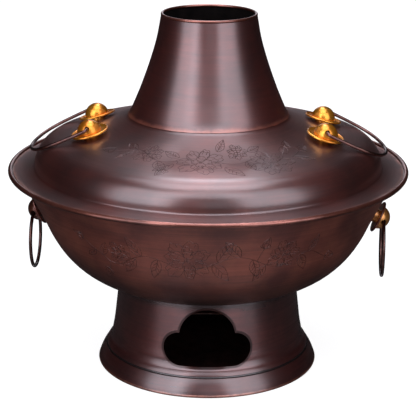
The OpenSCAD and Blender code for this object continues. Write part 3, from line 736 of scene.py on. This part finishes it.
# each side stalk with a bud of one length on its end: its points, and the bud's turn
BOWL_STALKS = ((((40, 1), (42, 8), (44, 13)), 75), (((-86, -5), (-87, -11), (-90, -15)), 240),
               (((104, -4), (106, -5), (108, -5)), -10), (((-104, 6), (-106, 8), (-108, 10)), 150))
STALK_BUD = 11
bowl_garland = [stem(BOWL_STEM)]
for size, turn, across, up in BOWL_BLOSSOMS:
    bowl_garland += placed(blossom(size, turn), across, up)
for across, up, length, turn in BOWL_LEAVES:
    bowl_garland += placed(leaf(length, length * 0.48, turn), across, up)
for stalk, turn in BOWL_STALKS:
    bowl_garland.append([Vector(p) for p in stalk])
    bowl_garland += placed(bud(STALK_BUD, turn), *stalk[-1])
print("bowl garland", len(bowl_garland), "strokes")

# %% [markdown]
# Geometry Nodes bring the drawing on to the sheet. Each point looks along a ray, down on the
# lid and towards the axis on the bowl, and moves to where the ray meets the sheet. A thin
# round bead then follows each stroke, sunk past its middle, as the ridge that the punch
# throws up.

# %% The chasing tree
BEAD_SIDES = 6
chasing = tree_with(
    "chase_a_drawing",
    [
        ("Geometry", "NodeSocketGeometry"),
        ("Sheet", "NodeSocketObject"),
        ("Downward Share", "NodeSocketFloat"),
        ("Stroke Radius", "NodeSocketFloat"),
        ("Depth", "NodeSocketFloat"),
        ("Finish", "NodeSocketMaterial"),
    ],
)
given = add(chasing, "NodeGroupInput")
sheet_shape = add(chasing, "GeometryNodeObjectInfo", {"Object": given.outputs["Sheet"]})
here = add(chasing, "GeometryNodeInputPosition").outputs[0]
inwards = add(chasing, "ShaderNodeVectorMath", {0: here, 1: (-1, -1, 0)}, operation="MULTIPLY")
inwards = add(chasing, "ShaderNodeVectorMath", {0: inwards.outputs[0]}, operation="NORMALIZE")
ray = add(
    chasing,
    "ShaderNodeMix",
    {0: given.outputs["Downward Share"], 4: inwards.outputs[0], 5: (0, 0, -1)},
    data_type="VECTOR",
)
met = add(
    chasing,
    "GeometryNodeRaycast",
    {
        "Target Geometry": sheet_shape.outputs["Geometry"],
        "Source Position": here,
        "Ray Direction": ray.outputs[1],
        "Ray Length": 1.0,
    },
)
sunk = add(chasing, "ShaderNodeVectorMath",
           {0: met.outputs["Hit Normal"], "Scale": given.outputs["Depth"]}, operation="SCALE")
laid = add(chasing, "ShaderNodeVectorMath",
           {0: met.outputs["Hit Position"], 1: sunk.outputs[0]}, operation="SUBTRACT")
on_sheet = add(
    chasing,
    "GeometryNodeSetPosition",
    {
        "Geometry": given.outputs["Geometry"],
        "Selection": met.outputs["Is Hit"],
        "Position": laid.outputs[0],
    },
)
strokes = add(chasing, "GeometryNodeMeshToCurve", {0: on_sheet.outputs[0]})
bead = add(chasing, "GeometryNodeCurvePrimitiveCircle",
           {"Resolution": BEAD_SIDES, "Radius": given.outputs["Stroke Radius"]})
ridges = add(chasing, "GeometryNodeCurveToMesh",
             {"Curve": strokes.outputs[0], "Profile Curve": bead.outputs[0], "Fill Caps": True})
realized = add(chasing, "GeometryNodeRealizeInstances", {0: ridges.outputs[0]})
finished = add(chasing, "GeometryNodeSetMaterial",
               {"Geometry": realized.outputs[0], "Material": given.outputs["Finish"]})
add(chasing, "NodeGroupOutput", {0: finished.outputs[0]})
print("the chasing tree has", len(chasing.nodes), "nodes")

# %% [markdown]
# Each garland is bent into its ring: a point's way across is a length along the middle circle
# of the strip, so it becomes an angle. A real ridge is about 0.3 mm wide. This one is a little
# over 0.5 mm wide and 0.14 mm high, so that it shows.

# %% Chase both garlands
LID_RING, LID_ABOVE = 103, 260
BOWL_RING, BOWL_OUTSIDE, BOWL_MIDDLE = 145, 200, 134
STROKE_R, STROKE_DEPTH, SHARP_STROKE = 0.32, 0.18, 60


def over_the_lid(p):
    angle, radius = p.x / LID_RING, LID_RING + p.y
    return Vector((radius * math.sin(angle), -radius * math.cos(angle), LID_ABOVE))


def round_the_bowl(p):
    angle = p.x / BOWL_RING
    return Vector((BOWL_OUTSIDE * math.sin(angle), -BOWL_OUTSIDE * math.cos(angle), BOWL_MIDDLE + p.y))


def chased(name, garland, bend, target, downward, finish, body):
    points, edges = [], []
    for line in garland:
        edges += [(len(points) + k, len(points) + k + 1) for k in range(len(line) - 1)]
        points += [bend(p) * MM for p in line]
    source = drawing(name + "_drawing", points, edges)
    sizes = {"Stroke Radius": STROKE_R * MM, "Depth": STROKE_DEPTH * MM}
    values = {"Sheet": target, "Downward Share": downward, "Finish": finish, **sizes}
    piece = close_and_shade(run_tree(chasing, source, name, values), SHARP_STROKE)
    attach(piece, body)
    print(name, len(piece.data.polygons), "faces")


chased("lid_chasing", lid_garland, over_the_lid, lid, 1.0, chased_lid, "lid")
chased("bowl_chasing", bowl_garland, round_the_bowl, bowl, 0.0, chased_bowl, "pot")

# %% [markdown]
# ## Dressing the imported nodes
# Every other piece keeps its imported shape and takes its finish.

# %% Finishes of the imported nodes
FINISHES = {
    "foot_wall": foot_copper,
    "vent_lip": lip_copper,
    "foot_rolled_edge": foot_copper,
    "base_plate": chamber_copper,
    "rim_rolled_edge": edge_copper,
    "fire_chamber": tin,
    "bowl_knob_left": dark_knob,
    "bowl_knob_right": golden,
    "knob_rivets": wire,
    "bowl_ring_left": wire,
    "bowl_ring_right": wire,
    "grate_ledge": soot,
    "fire_grate": iron,
    "lid_collar": chamber_copper,
    "lid_boss_front_left": gilt,
    "lid_boss_front_right": gilt,
    "lid_boss_rear_left": gilt,
    "lid_boss_rear_right": gilt,
    "lid_rivets": wire,
    "lid_bail_left": wire,
    "lid_bail_right": wire,
    "chimney_cone": chimney_copper,
    "chimney_rolled_edge": edge_copper,
}
for node_name, finish in FINISHES.items():
    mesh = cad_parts[node_name].data
    mesh.materials.clear()
    mesh.materials.append(finish)
print("finished", len(FINISHES), "packed nodes")

# %% [markdown]
# A ring keeps knocking against the brim of its knob, so the rolled edge of the brim is bright.
# The faces of that edge are the ones far from the knob's own axis, which stands square to
# the bowl's wall.

# %% Rub the brims of the knobs
KNOB_Z, KNOB_TURN, KNOB_HALF, BRIM_FROM = 134.2, -3.5, 6, 12.2


def wall_near(height):
    return min(bowl_wall, key=lambda p: abs(p.y - height))


def rub_brim(node_name, turn):
    below, above = wall_near(KNOB_Z - KNOB_HALF), wall_near(KNOB_Z + KNOB_HALF)
    lean = math.atan2(above.x - below.x, above.y - below.y)
    middle = below.lerp(above, (KNOB_Z - below.y) / (above.y - below.y))
    around_z = Matrix.Rotation(math.radians(turn + KNOB_TURN), 3, "Z")
    axis = around_z @ Vector((math.cos(lean), 0, -math.sin(lean)))
    centre = around_z @ Vector((middle.x, 0, KNOB_Z)) * MM
    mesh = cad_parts[node_name].data
    mesh.materials.append(edge_copper)
    count = 0
    for face in mesh.polygons:
        out = face.center - centre
        if (out - out.dot(axis) * axis).length > BRIM_FROM * MM:
            face.material_index = 1
            count += 1
    print(node_name, "has", count, "of", len(mesh.polygons), "faces on its rolled edge")


rub_brim("bowl_knob_left", 180)
rub_brim("bowl_knob_right", 0)

# %% [markdown]
# ## Linings
# A sheet has one finish outside and another inside. A face lies inside when it looks towards
# the axis and, on the bowl, up, or, on the lid, down. The lining is the last of a mesh's
# materials, whatever came before it.

# %% Line the sheets
def line_inside(piece, lining, up):
    mesh = piece.data
    mesh.materials.append(lining)
    last = len(mesh.materials) - 1
    count = 0
    for face in mesh.polygons:
        to_axis = Vector((-face.center.x, -face.center.y, 0)).normalized()
        if face.normal.dot(to_axis + Vector((0, 0, up))) > 0:
            face.material_index = last
            count += 1
    print(piece.name, "has", count, "of", len(mesh.polygons), "faces inside")


line_inside(lid, tin, -1)
line_inside(bowl, tin, 1)
line_inside(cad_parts["chimney_cone"], soot, 0)
line_inside(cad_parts["fire_chamber"], soot, 0)

# %% [markdown]
# ## The studio
# Polished copper shows its surroundings more than itself. White paper all round would bleach
# its brown, so the floor is dark to every ray but the camera's own, straight or through
# glass. The Light Path node tells those rays apart. For them the floor is three quarters an
# even white, a shade brighter far away, and one quarter white paper, which takes the shadow
# of the pot.

# %% The floor
FLOOR_Z, FLOOR_HALF = -0.0004, 8
EVEN_WHITE, GLOSSY_SHARE = 0.75, 0.15


def plate(name, corners, finish):
    mesh = bpy.data.meshes.new(name)
    mesh.from_pydata(corners, [], [(0, 1, 2, 3)])
    mesh.materials.append(finish)
    made = new_object(name, mesh)
    return made


paper_finish, tree = new_material("matt_white_paper")
seen = add(tree, "ShaderNodeLightPath")
grain = add(tree, "ShaderNodeTexNoise", {"Scale": 400, "Detail": 2})
paper = add(tree, "ShaderNodeMix",
            {0: grain.outputs["Fac"], 6: colour("#2c2c2b"), 7: colour("#343433")}, data_type="RGBA")
paper = add(tree, "ShaderNodeMix",
            {0: seen.outputs["Is Camera Ray"], 6: paper.outputs[2], 7: colour("#f6f6f4")}, data_type="RGBA")
lit = add(tree, "ShaderNodeBsdfDiffuse", {0: paper.outputs[2]})
sheen = add(tree, "ShaderNodeBsdfAnisotropic", {0: (1, 1, 1, 1), 1: 0.2})
share = add(tree, "ShaderNodeMath", {0: seen.outputs["Is Glossy Ray"], 1: GLOSSY_SHARE},
            operation="MULTIPLY")
lit = add(tree, "ShaderNodeMixShader", {0: share.outputs[0], 1: lit.outputs[0], 2: sheen.outputs[0]})
away = add(tree, "ShaderNodeTexCoord")
away = add(tree, "ShaderNodeVectorMath", {0: away.outputs["Object"]}, operation="LENGTH")
level = add(tree, "ShaderNodeMapRange", {0: away.outputs["Value"], 1: 0.3, 2: 1.5, 3: 1.2, 4: 1.35})
white = add(tree, "ShaderNodeEmission", {0: (1, 1, 1, 1), 1: level.outputs[0]})
direct = {0: seen.outputs["Is Camera Ray"], 1: seen.outputs["Is Transmission Ray"]}
direct = add(tree, "ShaderNodeMath", direct, operation="MAXIMUM")
direct = add(tree, "ShaderNodeMath", {0: direct.outputs[0], 1: EVEN_WHITE}, operation="MULTIPLY")
shown = add(tree, "ShaderNodeMixShader", {0: direct.outputs[0], 1: lit.outputs[0], 2: white.outputs[0]})
add(tree, "ShaderNodeOutputMaterial", {0: shown.outputs[0]})
CORNERS = ((-1, -1), (1, -1), (1, 1), (-1, 1))
plate("floor", [(x * FLOOR_HALF, y * FLOOR_HALF, FLOOR_Z) for x, y in CORNERS], paper_finish)
print("the floor is", 2 * FLOOR_HALF, "m wide")

# %% [markdown]
# Two boards of dark felt stand at the sides, out of the camera's sight. Their reflections
# darken the outer edges of the pot, so that its round shape reads against the white.

# %% Felt boards
BOARD_FRONT, BOARD_BACK, BOARD_H = (1.45, -0.4), (0.5, 1.5), 1.3
felt, tree = new_material("dark_felt")
nap = add(tree, "ShaderNodeTexNoise", {"Scale": 300, "Detail": 2})
pile = add(tree, "ShaderNodeMix",
           {0: nap.outputs["Fac"], 6: colour("#181818"), 7: colour("#242424")}, data_type="RGBA")
soft = add(tree, "ShaderNodeBsdfDiffuse", {0: pile.outputs[2]})
add(tree, "ShaderNodeOutputMaterial", {0: soft.outputs[0]})
for name, side in (("board_left", -1), ("board_right", 1)):
    front, back = ((side * x, y) for x, y in (BOARD_FRONT, BOARD_BACK))
    board = plate(name, [(*front, 0), (*back, 0), (*back, BOARD_H), (*front, BOARD_H)], felt)
    board.visible_camera = False
    print(name, "runs from", front, "to", back)

# %% [markdown]
# The room is white where the camera sees it, nearly black in a reflection, and otherwise gives
# a little light from all sides, so that no shadow is quite black.

# %% The room
FILL, IN_REFLECTIONS = 0.12, 0.02
room = bpy.data.worlds.new("room")
room.use_nodes = True
tree = room.node_tree
tree.nodes.clear()
seen = add(tree, "ShaderNodeLightPath")
direct = {0: seen.outputs["Is Camera Ray"], 1: seen.outputs["Is Transmission Ray"]}
direct = add(tree, "ShaderNodeMath", direct, operation="MAXIMUM")
level = add(tree, "ShaderNodeMix", {0: seen.outputs["Is Glossy Ray"], 2: FILL, 3: IN_REFLECTIONS})
level = add(tree, "ShaderNodeMix", {0: direct.outputs[0], 2: level.outputs[0], 3: 1.0})
glow = add(tree, "ShaderNodeBackground", {0: (1, 1, 1, 1), 1: level.outputs[0]})
add(tree, "ShaderNodeOutputWorld", {0: glow.outputs[0]})
bpy.context.scene.world = room
print("the room fills with", FILL, "of white")

# %% [markdown]
# Every lamp is a softbox, so every highlight has a soft edge. On a round pot a tall box makes
# an upright band and a box overhead makes a bow on the shoulder. Two tall ones stand in front
# at the sides, each with a narrow one inside it that softens its band, and a weak one stands
# in the middle. One hangs over the camera, three hang over the pot from front to back, and
# two behind it draw the rim and the chimney. All have the slightly blue white of a flash.

# %% The lamps
SOFTBOX_WHITE = "#f4f3ff"


def around(azimuth, distance, height):
    angle = math.radians(azimuth)
    return (distance * math.sin(angle), -distance * math.cos(angle), height)


def softbox(name, place, target, width, height, power):
    data = bpy.data.lights.new(name, "AREA")
    data.shape = "RECTANGLE"
    data.size = width
    data.size_y = height
    data.energy = power
    data.color = colour(SOFTBOX_WHITE)[:3]
    made = new_object(name, data)
    way = Vector(target) - Vector(place)
    made.matrix_world = Matrix.Translation(place) @ way.to_track_quat("-Z", "Y").to_matrix().to_4x4()
    made.visible_camera = False
    print(name, "stands", round(way.length, 2), "m away")


# name, place, the point that it faces, width and height in metres, watts
SOFTBOXES = (
    ("softbox_left", around(-43, 1.6, 1.0), (0, 0, 0.4), 1.3, 1.95, 21),
    ("softbox_left_inner", around(-30, 1.6, 1.0), (0, 0, 0.4), 0.4, 1.9, 3.7),
    ("softbox_right", around(41, 1.6, 1.0), (0, 0, 0.4), 1.3, 2.0, 19.5),
    ("softbox_right_inner", around(25, 1.6, 1.0), (0, 0, 0.4), 0.4, 1.9, 1.8),
    ("softbox_front", around(2, 1.6, 0.5), (0, 0, 0.2), 0.5, 0.7, 0.8),
    ("softbox_above", (0, -1.0, 1.4), (0, 0, 0.2), 0.8, 0.8, 5),
    ("softbox_top_front", (0, -0.25, 1.65), (0, 0, 0.2), 1.2, 0.6, 10),
    ("softbox_top_middle", (0, 0.3, 1.65), (0, 0, 0.2), 1.2, 0.5, 5.5),
    ("softbox_top_back", (0, 0.8, 1.6), (0, 0, 0.2), 0.6, 0.5, 4.0),
    ("softbox_back", (0, 1.1, 1.45), (0, 0, 0.25), 0.35, 0.8, 2.9),
    ("softbox_low", (0, 1.4, 0.6), (0, 0, 0.18), 0.6, 0.35, 0.8),
)
for softbox_row in SOFTBOXES:
    softbox(*softbox_row)

# %% [markdown]
# Blender's default view bends bright colours towards a film look. With the Standard view a
# colour renders as it is written.

# %% The view
bpy.context.scene.view_settings.view_transform = "Standard"
print("view transform", bpy.context.scene.view_settings.view_transform)
